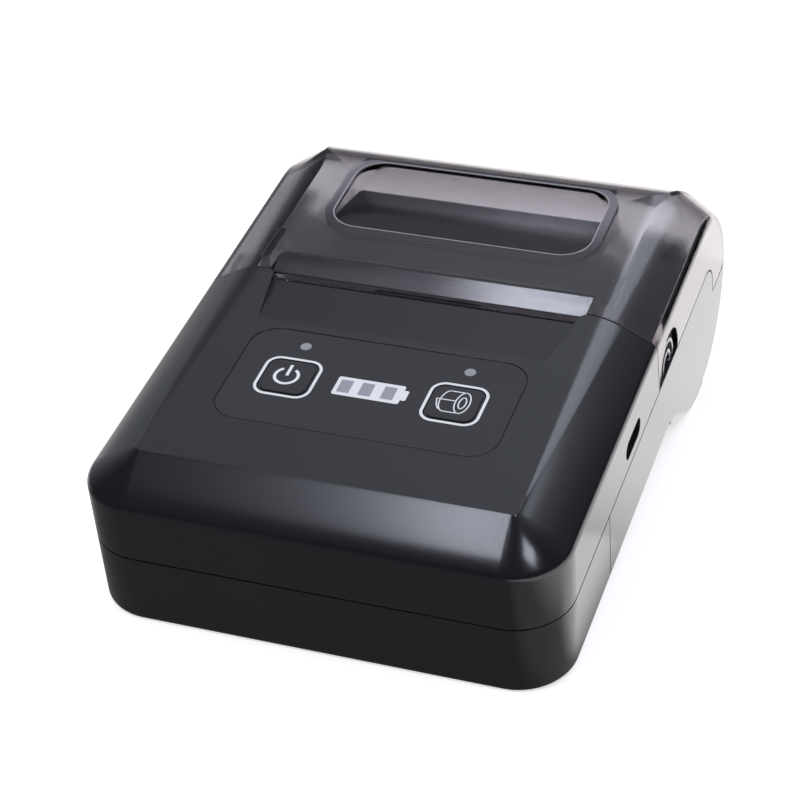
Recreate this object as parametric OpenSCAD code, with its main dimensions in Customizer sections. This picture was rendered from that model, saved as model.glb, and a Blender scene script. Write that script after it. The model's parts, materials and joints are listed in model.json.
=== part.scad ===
// Portable receipt printer with a smoky paper lid, a rear roll bay and a slide-off battery cover.
// Everything is drawn level, with Y = 0 at the front wall and Z = 0 at the flat front bottom.
// The roll bay reaches lower than the front, so on_table() tips the whole printer onto
// the bay and the front bottom edge, where it really stands.

/* [Housing] */
// Width across the side walls
body_w = 84; // [80:1:104]
// Distance from the front wall to the lid seam on the top
seam_y = 62; // [60:1:78]
// Height of the parting line above the flat front bottom
part_z = 14.1; // [13:0.1:15]
// Height of the shoulders where the bevels begin
shoulder_z = 25.1; // [24:0.1:28]
// Height of the flat top
top_z = 30.6; // [30:0.1:37]
// Run of the bevels at the front and the sides
bevel = 9; // [8:0.5:9]
// Wall of the opaque housing
wall = 2; // [1.6:0.1:2.4]
// Plan radius of the front corners
corner_r = 10; // [10:0.5:12]
// Rounding of the shoulders
shoulder_r = 1.5; // [1:0.5:3]
// Rounding of the side creases at the lid's seam, to which they grow from the front corner
soft_r = 12.5; // [8:0.5:14]
// Rounding of the bottom edge
edge_r = 1; // [0.5:0.1:1.5]
// Gap along every seam
seam_gap = 0.3; // [0.2:0.05:0.4]
// Lean of the lid's front seam, from the top down to the parting line
seam_lean = 2; // [0:0.1:4]

/* [Roll bay] */
// Distance from the lid seam to the axis of the bay
roll_back = 34; // [32:1:42]
// Outer radius of the bay and of the rounded rear end
roll_r = 20.5; // [19.5:0.5:25]
// How far the shoulders at the rear end lie inside the bay's radius
ring_step = 2.85; // [2:0.05:4]
// How far the axis of those shoulders lies behind the axis of the bay
ring_back = 2.05; // [1:0.05:3]
// Slope of the underside in front of the bay
bay_slope = 37; // [30:1:45]
// Hollow rounding where the flat bottom meets that slope
bay_fillet = 10; // [6:1:14]
// Width of the paper
paper_w = 57.5; // [56:0.5:60]

/* [Lid] */
// Wall of the lid
lid_wall = 1.8; // [1.5:0.1:2]
// Height of the hinge seam at the rear
hinge_z = 6.4; // [5:0.1:8]
// Distance from the roll axis back to where the lid's skirt steps down
skirt_back = 9.5; // [8:0.5:11]
// Rounding of the step in the seam
skirt_r = 6.2; // [4:0.1:7]
// Length of the finger scoop
scoop_l = 21.8; // [18:0.2:23]
// Width of the finger scoop
scoop_w = 49.4; // [40:0.2:52]
// Depth of the finger scoop at its rear
scoop_depth = 4.9; // [3:0.1:5.2]
// Radius of the thumb notch in each side
notch_r = 6.6; // [5.5:0.1:7.5]

/* [Controls] */
// Size of the label, side to side
label_w = 50; // [46:0.5:54]
// Size of the label, front to back
label_l = 24.8; // [22:0.2:27]
// Distance from the front wall to the label
label_y = 20.7; // [18:0.1:24]
// Thickness of the label
label_t = 0.3; // [0.2:0.05:0.5]
// Side of each square key
key_size = 9; // [8:0.1:9.6]
// Distance of each key from the middle
key_x = 14.9; // [13:0.1:16]
// Travel of a key
key_travel = 0.35; // [0.2:0.05:0.5]
// Clearance round a key
key_gap = 0.2; // [0.15:0.05:0.3]

/* [Mechanism] */
// Radius of the rubber platen
platen_r = 4.5; // [4:0.1:5]
// Radius of the platen shaft
shaft_r = 1.5; // [1.2:0.1:1.8]
// Radius of the motor can
motor_r = 7; // [6:0.1:7.4]
// Gear module, pitch diameter over tooth count
gear_m = 0.5; // [0.5:0.1:0.5]
// Teeth on the platen gear
platen_teeth = 20; // [18:1:21]
// Teeth on the idler gear
idler_teeth = 24; // [23:1:26]
// Teeth on the motor pinion
pinion_teeth = 12; // [11:1:13]
// Running clearance of a shaft in its bore
fit = 0.05; // [0.02:0.01:0.08]

/* [Battery] */
// Distance from the front wall to the battery cover's seam
door_y = 30.2; // [27:0.1:33]
// Thickness of the battery pack
pack_t = 9.8; // [8:0.1:10]

/* [Hidden] */
$fn = 64;

half_w = body_w / 2;
roll_y = seam_y + roll_back;
roll_z = top_z - roll_r;
rear_y = roll_y + roll_r;
bevel_angle = atan2(top_z - shoulder_z, bevel);
corner_x = half_w - corner_r;
soft_start = 4;
ring_r = roll_r - ring_step;
ring_y = roll_y + ring_back;
ring_z = shoulder_z - ring_r;
low_z = roll_z - roll_r - 5;
high_z = top_z + 5;
clear = seam_gap / 2;
least_r = 0.3;

// Hinge axis, on the rear surface at the seam
hinge_y = roll_y + sqrt(pow(roll_r, 2) - pow(hinge_z - roll_z, 2));
knuckle_r = 2.4;
pin_r = 0.8;
lid_knuckle = [14, 25.6];
body_knuckle = [26, 33.6];

// Tilt that stands the printer on its bay and on its front bottom edge
bay_span = roll_y - edge_r;
bay_rise = roll_z - edge_r;
rest_tilt = asin((roll_r - edge_r) / norm([bay_span, bay_rise])) - atan2(bay_rise, bay_span);
table_z = roll_y * sin(rest_tilt) + roll_z * cos(rest_tilt) - roll_r;
front_centre = arc_centre([0, shoulder_z], 90 + bevel_angle, 180, shoulder_r);
front_reach = front_centre[0] * cos(rest_tilt) - front_centre[1] * sin(rest_tilt) - shoulder_r;
rear_reach = hinge_y * cos(rest_tilt) - hinge_z * sin(rest_tilt) + knuckle_r;

// Paper path
slot_half = paper_w / 2 + 1.1;
ramp_y = seam_y - 14.5;
ramp_drop = 1.9;
ramp_half = slot_half - 3.8;
tear_seat = 1;
tear_t = 0.48;
slot_corner = 1.3;
lip_half = slot_half - 0.35;
lip_y = seam_y + 0.8;
lip_slope_y = seam_y + 4.8;
lip_drop = 1.4;
lip_low = top_z - lip_drop - 2.3;
lip_relief_half = 10;

// Mechanism, placed from the seam and the top
platen_y = seam_y + 8.5;
platen_z = top_z - 10.6;
nip_angle = 20;
frame_half = slot_half + 1.2;
plate_t = 1.4;
arm_in = frame_half + 0.3;
arm_t = 1.6;
gear_in = arm_in + arm_t + 0.4;
gear_w = 2.8;
platen_half = paper_w / 2 + 0.25;
head_gap = 0.12;
head_t = 1;
heat_t = 3;
motor_y = seam_y - 7.5;
motor_z = platen_z - 10.5;
pitch_platen = gear_m * platen_teeth / 2;
pitch_idler = gear_m * idler_teeth / 2;
pitch_pinion = gear_m * pinion_teeth / 2;
mesh_gap = 0.06;
idler_pos = third_point([motor_y, motor_z], [platen_y, platen_z],
    pitch_pinion + pitch_idler + mesh_gap, pitch_idler + pitch_platen + mesh_gap);

// Scoop in the lid
scoop_rear_y = roll_y + 3.6;
scoop_front_y = scoop_rear_y - scoop_l;
scoop_wall_run = 3.6;
scoop_lip = 0.3;

// Thumb notches in the lid's sides
notch_back = 8.9;
notch_depth = 1.2;

// Head, springs, bushes and axle
heat_top = 3.5;
heat_low = -10;
pivot_low = -9;
pivot_out = platen_r + head_gap + head_t + heat_t / 2;
pivot_r = 1;
spring_start = platen_r + head_gap + head_t + heat_t + 0.45;
spring_wall = spring_start + 3;
bush_r = 2.6;
axle_r = 1;
idler_first = 4;
exit_angle = atan2(platen_z - hinge_z, hinge_y - platen_y);

// Board and controls
board_t = 1.6;
board_top = part_z + 2.3;
key_y = label_y + 12.3;
light_y = key_y + 8.7;
light_r = 1;
switch_h = 4.3;
usb_y = seam_y - 16.1;
usb_l = 9;
usb_h = 3.2;
usb_z = board_top + usb_h / 2;
usb_depth = 7.3;
usb_face = half_w - 1.3;
board_screw_r = 0.9;
board_screw_ys = [12, door_y - 2.2];

// Screws
screw_r = 1.25;
screw_head_r = 2.3;
screw_x = half_w - 6.2;
screw_seat = wall + 0.2;
screw_spots = [
    [screw_x, door_y + 6],
    [-screw_x, door_y + 6],
    [screw_x, seam_y - 5],
    [-screw_x, seam_y - 15.5]
];
foot_x = frame_half - 6;
foot_y = seam_y + 9;
foot_z = wall + 1.6;

// Battery cover rails
rail_in = half_w - wall - 3.4;
rail_t = 1.2;
rail_reach = 1.8;
rail_z = part_z - 4.6;
board_half = rail_in - 0.5;
board_screw_x = board_half - 3.5;

function u(a) = [cos(a), sin(a)];

// Centre of the arc that rounds a corner between two edges with outward normals a1 and a2
function arc_centre(v, a1, a2, r) = v - r * (u(a1) + u(a2)) / (1 + cos(a1 - a2));

// Point at distances ra and rb from two points, on the rear lower side of the line a to b
function third_point(a, b, ra, rb) =
    let (d = norm(b - a), e = (b - a) / d, s = (ra * ra - rb * rb + d * d) / (2 * d))
    a + s * e + sqrt(ra * ra - s * s) * [e[1], -e[0]];

// Closed outline drawn in by inset, each corner [point, normal before, normal after, radius]
module outline(corners, inset = 0) {
    sizes = [for (c = corners) c[3] == 0 ? 0 : max(c[3] - inset, 0.3)];
    centres = [for (i = [0:len(corners) - 1])
        arc_centre(corners[i][0], corners[i][1], corners[i][2], sizes[i] + inset)];
    polygon([for (i = [0:len(corners) - 1], k = sizes[i] == 0 ? [1] : [1, 2])
        centres[i] + sizes[i] * u(corners[i][k])]);
    for (i = [0:len(corners) - 1])
        if (sizes[i] > 0)
            translate(centres[i]) circle(sizes[i]);
}

// Rectangle with rounded corners round its centre
module round_box(size, r) {
    outline([
        [[-size[0], -size[1]] / 2, 180, 270, r],
        [[size[0], -size[1]] / 2, 270, 360, r],
        [[size[0], size[1]] / 2, 0, 90, r],
        [[-size[0], size[1]] / 2, 90, 180, r]
    ]);
}

// Slot with round ends, l long over its ends and h high
module stadium(l, h) {
    square([l - h, h], center = true);
    for (s = [-1, 1])
        translate([s * (l - h) / 2, 0]) circle(h / 2);
}

// Extrudes a side view, drawn as (Y, Z), from x1 to x2
module side_prism(x1, x2) {
    translate([x1, 0, 0])
        rotate([90, 0, 90])
            linear_extrude(x2 - x1)
                children();
}

// Extrudes a front view, drawn as (X, Z), from y1 to y2
module front_prism(y1, y2) {
    translate([0, y2, 0])
        rotate([90, 0, 0])
            linear_extrude(y2 - y1)
                children();
}

// Repeats on both sides of the middle
module both() {
    children();
    mirror([1, 0, 0]) children();
}

// Side view of the whole printer: bevelled front, flat top, round rear end and bay
module side_outline(inset = 0) {
    slope_normal = 270 - bay_slope;
    foot = arc_foot();
    hollow = foot + bay_fillet * (u(270) + u(slope_normal)) / (1 + cos(bay_slope));
    low_r = max(edge_r - inset, least_r);
    low = arc_centre([0, 0], 180, 270, low_r + inset);
    shoulder_in = max(shoulder_r - inset, least_r);
    shoulder = arc_centre([0, shoulder_z], 90 + bevel_angle, 180, shoulder_in + inset);
    crease = arc_centre([bevel, top_z], 90, 90 + bevel_angle, inset);
    difference() {
        union() {
            polygon([
                low + low_r * u(180),
                low + low_r * u(270),
                hollow - (bay_fillet + inset) * u(270),
                hollow - (bay_fillet + inset) * u(slope_normal),
                [roll_y, roll_z] + (roll_r - inset) * u(slope_normal),
                [roll_y, top_z - inset],
                crease,
                shoulder + shoulder_in * u(90 + bevel_angle),
                shoulder + shoulder_in * u(180)
            ]);
            translate(low) circle(low_r);
            translate(shoulder) circle(shoulder_in);
            translate([roll_y, roll_z]) circle(roll_r - inset, $fn = 128);
        }
        translate(hollow) circle(bay_fillet + inset);
    }
}

// Where the sloping underside meets the flat bottom
function arc_foot() =
    let (t = [roll_y, roll_z] + roll_r * u(270 - bay_slope))
    [t[0] + t[1] / tan(bay_slope), 0];

// Front view of the housing: upright walls, round shoulders and side bevels
module front_outline(inset = 0) {
    outline([
        [[-half_w, low_z], 180, 270, 0],
        [[half_w, low_z], 270, 360, 0],
        [[half_w, shoulder_z], 0, 90 - bevel_angle, shoulder_r],
        [[half_w - bevel, top_z], 90 - bevel_angle, 90, 0],
        [[bevel - half_w, top_z], 90, 90 + bevel_angle, 0],
        [[-half_w, shoulder_z], 90 + bevel_angle, 180, shoulder_r]
    ], inset);
}

// Solid of the closed printer, or the same drawn in by inset
module envelope(inset = 0) {
    intersection() {
        side_prism(-half_w - 1, half_w + 1) side_outline(inset);
        union() {
            front_prism(corner_r, ring_y) front_outline(inset);
            front_prism(-1, corner_r)
                intersection() {
                    front_outline(inset);
                    translate([-corner_x, low_z]) square([2 * corner_x, high_z - low_z]);
                }
            rear_ring(inset);
        }
    }
    both() front_corner(inset);
}

// Side walls and bevels carried round the rear end
module rear_ring(inset) {
    translate([0, ring_y, ring_z])
        rotate([0, 90, 0])
            rotate_extrude(angle = 180)
                rotate([0, 0, -90])
                    intersection() {
                        translate([0, -ring_z]) front_outline(inset);
                        translate([-body_w, 0]) square([2 * body_w, body_w]);
                    }
}

// Wall, shoulder and bevel carried round an upright axis at the front corner
module front_corner(inset) {
    foot_r = max(edge_r - inset, least_r);
    translate([corner_x, corner_r, 0])
        rotate([0, 0, -90])
            rotate_extrude(angle = 90)
                intersection() {
                    translate([-corner_x, 0]) front_outline(inset);
                    union() {
                        translate([0, inset + foot_r])
                            square([corner_r - inset, high_z]);
                        translate([0, inset])
                            square([corner_r - inset - foot_r, high_z]);
                        translate([corner_r - inset - foot_r, inset + foot_r])
                            circle(foot_r);
                    }
                }
}

// What is cut away to soften the side creases: all that lies outside a slender cone
// that starts at the front corner and touches both the top and the bevel
module soft_creases() {
    half_turn = bevel_angle / 2;
    lean = atan(soft_r / (cos(half_turn) * (seam_y - corner_r)));
    half_cone = asin(sin(lean) * cos(half_turn));
    dip = atan(tan(lean) * pow(sin(half_turn), 2));
    reach = rear_y - corner_r + 5;
    both()
        translate([half_w - bevel, corner_r, top_z])
            rotate([0, half_turn, 0])
                difference() {
                    rotate([-dip, 0, 0])
                        translate([-bevel - 5, soft_start, 0]) cube([2 * bevel + 10, reach, 10]);
                    rotate([-90 - lean, 0, 0])
                        cylinder(h = 1.2 * reach, r1 = 0, r2 = 1.2 * reach * tan(half_cone), $fn = 96);
                }
}

// Outer shape with the wall taken out of it
module shell(thickness) {
    difference() {
        envelope();
        soft_creases();
        envelope(thickness);
    }
}

// Side view of the region in front of the lid seam, moved back by grow
module seam_region(grow = 0) {
    polygon([
        [-5, low_z],
        [seam_y + seam_lean * (top_z - low_z) / (top_z - part_z) + grow, low_z],
        [seam_y - seam_lean * (high_z - top_z) / (top_z - part_z) + grow, high_z],
        [-5, high_z]
    ]);
}

// Side view of the region under the lid: up to the parting line, stepping down at the hinge
module lower_region(grow = 0) {
    translate([-5, low_z])
        square([rear_y + 15, hinge_z + grow - low_z]);
    outline([
        [[-5, low_z], 180, 270, 0],
        [[roll_y + skirt_back + grow, low_z], 270, 360, 0],
        [[roll_y + skirt_back + grow, part_z + grow], 0, 90, skirt_r + grow],
        [[-5, part_z + grow], 90, 180, 0]
    ]);
}

// Cylinder along X, between x1 and x2, at (y, z)
module rod(pos, r, x1, x2) {
    translate([x1, pos[0], pos[1]])
        rotate([0, 90, 0])
            cylinder(h = x2 - x1, r = r);
}

// Upright post
module post(x, y, r, z1, z2) {
    translate([x, y, z1]) cylinder(h = z2 - z1, r = r);
}

// Rounds the lower side edges in front of the bay
module bottom_edges(y1, y2) {
    both()
        front_prism(y1, y2)
            translate([half_w - edge_r, 0])
                difference() {
                    translate([0, -1]) square([edge_r + 1, edge_r + 1]);
                    translate([0, edge_r]) circle(edge_r);
                }
}

module upper_housing() {
    color([0.15, 0.155, 0.17])
    difference() {
        intersection() {
            union() {
                shell(wall);
                intersection() {
                    envelope(wall / 2);
                    union() {
                        ramp_backing();
                        housing_bosses();
                        board_posts();
                    }
                }
                cover_rails();
            }
            side_prism(-half_w - 1, half_w + 1)
                difference() {
                    seam_region(-clear);
                    translate([-6, low_z - 1])
                        square([corner_r + 6, part_z + clear - low_z + 1]);
                    translate([door_y - 3, low_z - 1])
                        square([seam_y, part_z + clear - low_z + 1]);
                    translate([-6, low_z - 1])
                        square([seam_y, rail_z - low_z + 1]);
                }
            upper_slab();
        }
        paper_ramp();
        label_recess();
        key_openings();
        usb_opening();
        housing_screw_holes();
        board_screw_holes();
    }
}

// Everything above the parting line, and what hangs below it between the cover's walls
module upper_slab() {
    translate([-half_w - 1, -1, part_z + clear])
        cube([body_w + 2, rear_y, high_z]);
    translate([-half_w + wall + 0.3, -1, low_z])
        cube([body_w - 2 * wall - 0.6, rear_y, high_z]);
}

// Sloping floor of the paper exit, cut into the top
module paper_ramp() {
    intersection() {
        side_prism(-slot_half - 1, slot_half + 1)
            polygon([
                [ramp_y, top_z],
                [seam_y + 1, top_z - ramp_drop * (seam_y + 1 - ramp_y) / (seam_y - ramp_y)],
                [seam_y + 1, high_z],
                [ramp_y, high_z]
            ]);
        translate([0, 0, top_z - 5])
            linear_extrude(10)
                polygon([
                    [-ramp_half, ramp_y - 1],
                    [ramp_half, ramp_y - 1],
                    [slot_half - slot_corner, seam_y - tear_seat],
                    [slot_half - slot_corner, seam_y + 2],
                    [slot_corner - slot_half, seam_y + 2],
                    [slot_corner - slot_half, seam_y - tear_seat]
                ]);
    }
    translate([0, 0, platen_z])
        linear_extrude(high_z - platen_z)
            polygon([
                [slot_corner - slot_half, seam_y - tear_seat],
                [slot_half - slot_corner, seam_y - tear_seat],
                [slot_half, seam_y],
                [slot_half, seam_y + 2],
                [-slot_half, seam_y + 2],
                [-slot_half, seam_y]
            ]);
}

// Material under the ramp, so that its floor stays a full wall thick
module ramp_backing() {
    side_prism(-slot_half - wall, slot_half + wall)
        polygon([
            [ramp_y, top_z - wall],
            [seam_y + 1, top_z - ramp_drop - wall],
            [seam_y + 1, top_z],
            [ramp_y, top_z]
        ]);
}

// Bosses for the screws that come up through the lower housing
module housing_bosses() {
    for (s = screw_spots)
        post(s[0], s[1], 2.8, part_z + clear, top_z);
}

module housing_screw_holes() {
    for (s = screw_spots)
        post(s[0], s[1], screw_r + fit, part_z - 1, part_z + 7);
}

// Posts that the board is screwed up to
module board_posts() {
    for (y = board_screw_ys)
        both()
            post(board_screw_x, y, 2.2, board_top, top_z);
}

module board_screw_holes() {
    for (y = board_screw_ys)
        both()
            post(board_screw_x, y, board_screw_r + fit, board_top - 1, board_top + 4.5);
}

module label_recess() {
    translate([0, label_y + label_l / 2, top_z - label_t - 0.05])
        linear_extrude(2)
            round_box([label_w + 0.3, label_l + 0.3], 5.15);
}

module key_openings() {
    for (s = [-1, 1]) {
        translate([s * key_x, key_y, top_z - 5])
            linear_extrude(10)
                round_box([key_size, key_size] + 2 * key_gap * [1, 1], 2.2);
        post(s * key_x, light_y, light_r + fit, top_z - 5, high_z);
    }
    for (i = [-1:1])
        translate([i * 4.4, key_y, top_z - 2])
            cube([3, 3.4, 8], center = true);
}

module usb_opening() {
    side_prism(half_w - wall - 1, half_w + 1)
        translate([usb_y, usb_z])
            stadium(usb_l + 0.5, usb_h + 0.5);
}

// Hooked rails that the battery cover slides on
module cover_rails() {
    both()
        front_prism(corner_r, door_y - 3)
            polygon([
                [rail_in, part_z + 1.5],
                [rail_in, rail_z],
                [rail_in + rail_t + rail_reach, rail_z],
                [rail_in + rail_t + rail_reach, rail_z + rail_t],
                [rail_in + rail_t, rail_z + rail_t],
                [rail_in + rail_t, part_z + clear],
                [half_w - wall / 2, part_z + clear],
                [half_w - wall / 2, part_z + 1.5]
            ]);
}

module lower_housing() {
    color([0.11, 0.112, 0.12])
    difference() {
        union() {
            intersection() {
                union() {
                    difference() {
                        envelope();
                        envelope(wall);
                    }
                    intersection() {
                        envelope(wall / 2);
                        lower_inside();
                    }
                }
                side_prism(-half_w - 1, half_w + 1) lower_region(-clear);
                union() {
                    translate([-half_w - 1, door_y + clear, low_z])
                        cube([body_w + 2, rear_y, high_z - low_z]);
                    translate([8 - half_w, door_y - 1.6, wall + 0.2])
                        cube([body_w - 16, 4, 0.8]);
                }
            }
            intersection() {
                both() rod([hinge_y, hinge_z], knuckle_r, body_knuckle[0], body_knuckle[1]);
                translate([-half_w, hinge_y - knuckle_r, hinge_z - 5]) cube([body_w, 10, 10]);
            }
        }
        bottom_edges(corner_r, arc_foot()[0] - bay_fillet / 3);
        both() rod([hinge_y, hinge_z], knuckle_r + 0.35, lid_knuckle[0] - 0.4, lid_knuckle[1] + 0.2);
        both() rod([hinge_y, hinge_z], pin_r + fit, body_knuckle[0] - 1, body_knuckle[1] + 1);
        lower_screw_holes();
    }
}

// Walls, decks and bosses inside the lower housing
module lower_inside() {
    bay_half = slot_half + 0.4;
    // Rounded front wall of the bay
    side_prism(-bay_half - 1.5, bay_half + 1.5)
        intersection() {
            difference() {
                translate([roll_y, roll_z]) circle(roll_r - wall / 2, $fn = 128);
                translate([roll_y, roll_z]) circle(roll_r - wall, $fn = 128);
            }
            translate([0, low_z]) square([roll_y - 8, part_z - low_z]);
        }
    // Side walls of the bay and the decks outside them
    both()
        difference() {
            side_prism(bay_half, half_w)
                intersection() {
                    translate([roll_y, roll_z]) circle(roll_r, $fn = 128);
                    translate([0, low_z]) square([rear_y, part_z - low_z]);
                }
            side_prism(bay_half + 1.5, half_w)
                translate([0, low_z]) square([rear_y + 5, part_z - 2 - low_z]);
        }
    // Bulkhead behind the battery
    translate([-half_w, door_y + 1.6, 0]) cube([body_w, 1.4, part_z - 5]);
    // Tongue that reaches over the battery cover's floor
    translate([8 - half_w, door_y - 1.6, wall + 0.2])
        cube([body_w - 16, 4, 0.8]);
    for (s = screw_spots)
        post(s[0], s[1], 3.2, 0, part_z - clear);
    both() post(foot_x, foot_y, 2.6, 0, foot_z);
}

module lower_screw_holes() {
    for (s = screw_spots) {
        post(s[0], s[1], screw_r + 0.15, -1, part_z + 1);
        post(s[0], s[1], screw_head_r + 0.2, -1, screw_seat);
    }
    both() post(foot_x, foot_y, board_screw_r + fit, 1.2, part_z);
}

module battery_cover() {
    color([0.11, 0.112, 0.12])
    difference() {
        intersection() {
            union() {
                difference() {
                    envelope();
                    envelope(wall);
                }
                intersection() {
                    envelope(wall / 2);
                    cover_ribs();
                }
            }
            translate([-half_w - 1, -1, low_z])
                cube([body_w + 2, door_y - clear + 1, part_z - clear - low_z]);
        }
        bottom_edges(corner_r, door_y + 1);
    }
}

// Ribs on the cover's side walls that ride on the hooked rails
module cover_ribs() {
    both()
        translate([rail_in + rail_t + seam_gap, corner_r, rail_z + rail_t + seam_gap])
            cube([6, door_y - 3 - corner_r, 1.6]);
}

module battery_pack() {
    pack_front = wall + 1.6;
    pack_l = door_y - 2.8 - pack_front;
    pack_half = rail_in - 0.6;
    color([0.2, 0.32, 0.62])
    translate([-pack_half, pack_front + pack_l / 2, wall + 0.3 + pack_t / 2])
        rotate([90, 0, 90])
            linear_extrude(2 * pack_half)
                round_box([pack_l, pack_t], 2.4);
}

module battery_contacts() {
    color([0.83, 0.7, 0.35])
    for (x = [-5, 0, 5])
        side_prism(x - 1, x + 1)
            polygon([
                [door_y + 0.2, board_top - board_t],
                [door_y + 0.2, part_z - 6],
                [door_y - 2.6, part_z - 8],
                [door_y - 2.6, part_z - 7.6],
                [door_y - 0.2, part_z - 5.8],
                [door_y - 0.2, board_top - board_t]
            ]);
}

module control_label() {
    color([0.17, 0.175, 0.185])
    translate([0, label_y + label_l / 2, top_z - label_t - 0.05])
        linear_extrude(label_t)
            difference() {
                round_box([label_w, label_l], 5);
                for (s = [-1, 1]) {
                    translate([s * key_x, key_y - label_y - label_l / 2])
                        round_box([key_size, key_size] + 2 * key_gap * [1, 1], 2.2);
                    translate([s * key_x, light_y - label_y - label_l / 2])
                        circle(light_r + fit);
                }
            }
}

// Key with a rounded cap, a retaining flange under the top and a stem to its switch
module key(x) {
    color([0.16, 0.165, 0.175])
    translate([x, key_y, 0]) {
        translate([0, 0, top_z - wall - 1.3])
            linear_extrude(wall + 1.15)
                round_box([key_size, key_size], 2);
        translate([0, 0, top_z - wall - 1.3])
            linear_extrude(wall + 1.4)
                round_box([key_size - 0.7, key_size - 0.7], 1.7);
        translate([0, 0, top_z - wall - 1.3])
            linear_extrude(1)
                round_box([key_size + 1.6, key_size + 1.6], 2.2);
        translate([0, 0, board_top + switch_h + key_travel + 0.05])
            cylinder(h = top_z - wall - board_top - switch_h - 1.3, r = 1.8);
    }
}

module power_button() {
    key(-key_x);
}

module feed_button() {
    key(key_x);
}

module light_pipes() {
    color([0.86, 0.87, 0.9])
    both() {
        post(key_x, light_y, light_r, board_top + 1.2, top_z - 0.05);
        post(key_x, light_y, light_r + 0.8, top_z - wall - 1.4, top_z - wall - 0.1);
    }
}

module gauge_light_guide() {
    color([0.8, 0.81, 0.83]) {
        for (i = [-1:1])
            translate([i * 4.4 - 1.3, key_y - 1.5, top_z - wall - 1])
                cube([2.6, 3, wall + 1 - label_t - 0.15]);
        translate([-6.5, key_y - 2.5, top_z - wall - 2])
            cube([13, 5, 1.9]);
        translate([-2, key_y - 1, board_top + 1.1])
            cube([4, 2, top_z - wall - 1.5 - board_top - 1.1]);
    }
}

module main_board() {
    color([0.07, 0.3, 0.16])
    difference() {
        translate([-board_half, 6, board_top - board_t])
            cube([2 * board_half, usb_y - 1, board_t]);
        // Bite round the motor
        translate([-board_half - 1, motor_y - motor_r - 0.8, board_top - 3])
            cube([board_half + 1 - 10, 20, 5]);
        both()
            for (y = board_screw_ys)
                post(board_screw_x, y, board_screw_r + 2 * fit, 0, top_z);
        for (s = screw_spots)
            post(s[0], s[1], 3.3, 0, top_z);
    }
}

module tact_switches() {
    color([0.1, 0.1, 0.1])
    both()
        translate([key_x, key_y, board_top]) {
            translate([-3, -3, 0]) cube([6, 6, 3.4]);
            cylinder(h = switch_h, r = 1.6);
        }
}

module indicator_leds() {
    color([0.9, 0.9, 0.82]) {
        both() translate([key_x - 0.8, light_y - 0.5, board_top]) cube([1.6, 1, 0.9]);
        translate([-0.8, key_y - 0.5, board_top]) cube([1.6, 1, 0.9]);
    }
}

module controller_chips() {
    color([0.05, 0.05, 0.055]) {
        translate([-5, 14, board_top]) cube([10, 10, 1.2]);
        translate([20, 18, board_top]) cube([5, 6, 1.2]);
        translate([-27, 16, board_top]) cube([6, 5, 1.6]);
    }
}

module usb_connector() {
    color([0.72, 0.73, 0.75])
    difference() {
        side_prism(usb_face - usb_depth, usb_face)
            translate([usb_y, usb_z]) stadium(usb_l, usb_h);
        side_prism(usb_face - usb_depth + 0.8, half_w)
            difference() {
                translate([usb_y, usb_z]) stadium(usb_l - 0.6, usb_h - 0.6);
                translate([usb_y, usb_z]) square([usb_l - 2.6, 0.7], center = true);
            }
    }
}

// Serrated strip at the paper exit
module tear_bar() {
    tooth = 1;
    count = floor(2 * (slot_half - slot_corner) / tooth);
    low = top_z - ramp_drop - 2.1;
    tip = top_z - ramp_drop + 0.05;
    start = -count * tooth / 2;
    color([0.2, 0.2, 0.21])
    front_prism(seam_y - tear_seat + 0.02, seam_y - tear_seat + tear_t)
        polygon(concat(
            [[-start, low], [start, low]],
            [for (i = [0:2 * count])
                [start + i * tooth / 2, tip - (i % 2 == 0 ? 0.45 : 0)]]
        ));
}

// Local frame of the print head: Y runs up along its face, Z away from the platen's axis
module at_head() {
    translate([0, platen_y, platen_z])
        rotate([90 + nip_angle, 0, 0])
            children();
}

// Chassis with two side plates, a spring wall, a paper apron and two feet
module mechanism_frame() {
    color([0.24, 0.245, 0.25])
    difference() {
        union() {
            frame_plate(-frame_half, motor_y - motor_r - 0.4);
            frame_plate(frame_half - plate_t, seam_y - 8);
            intersection() {
                at_head()
                    translate([-frame_half, heat_low, spring_wall])
                        cube([2 * frame_half, heat_top - heat_low, plate_t]);
                translate([-frame_half, 0, foot_z]) cube([2 * frame_half, rear_y, top_z]);
            }
            side_prism(-frame_half, frame_half)
                polygon([
                    [platen_y + 0.3, platen_z - 7.6],
                    [platen_y + 4.7, platen_z - 7.6],
                    [platen_y + 4.7, platen_z - 6.2],
                    [platen_y + 0.3, platen_z - 6.2]
                ]);
            both()
                translate([foot_x - 3, foot_y - 2.8, foot_z])
                    cube([frame_half - foot_x + 3, 5.6, plate_t]);
            both() at_head() translate([12, 1, spring_wall - 1.4]) cylinder(h = 1.6, r = 1.2);
        }
        rod([motor_y, motor_z], motor_r + 0.5, plate_t - frame_half, 0);
        rod([motor_y, motor_z], 1.6, -frame_half - 1, 0);
        rod(idler_pos, axle_r + 0.02, -frame_half - 1, 0);
        at_head()
            translate([-frame_half - 1, pivot_low, pivot_out])
                rotate([0, 90, 0]) cylinder(h = 2 * frame_half + 2, r = pivot_r + fit);
        both() post(foot_x, foot_y, board_screw_r + 0.15, 0, foot_z + 3);
        side_prism(-frame_half - 1, frame_half + 1)
            translate([platen_y, platen_z]) {
                circle(bush_r + 0.3);
                rotate(-exit_angle)
                    translate([-bush_r - 0.3, 0])
                        square([2 * bush_r + 0.6, 12]);
            }
    }
}

// Side plate between x and x + plate_t, starting at front
module frame_plate(x, front) {
    side_prism(x, x + plate_t)
        polygon([
            [front, foot_z],
            [foot_y + 3, foot_z],
            [platen_y + 4.7, foot_z + 4],
            [platen_y + 4.7, platen_z + 2],
            [platen_y + 3.6, platen_z + 4.2],
            [seam_y + 1.5, platen_z + 4.2],
            [seam_y - 3, platen_z - 1.5],
            [front, platen_z - 1.5]
        ]);
}

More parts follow.
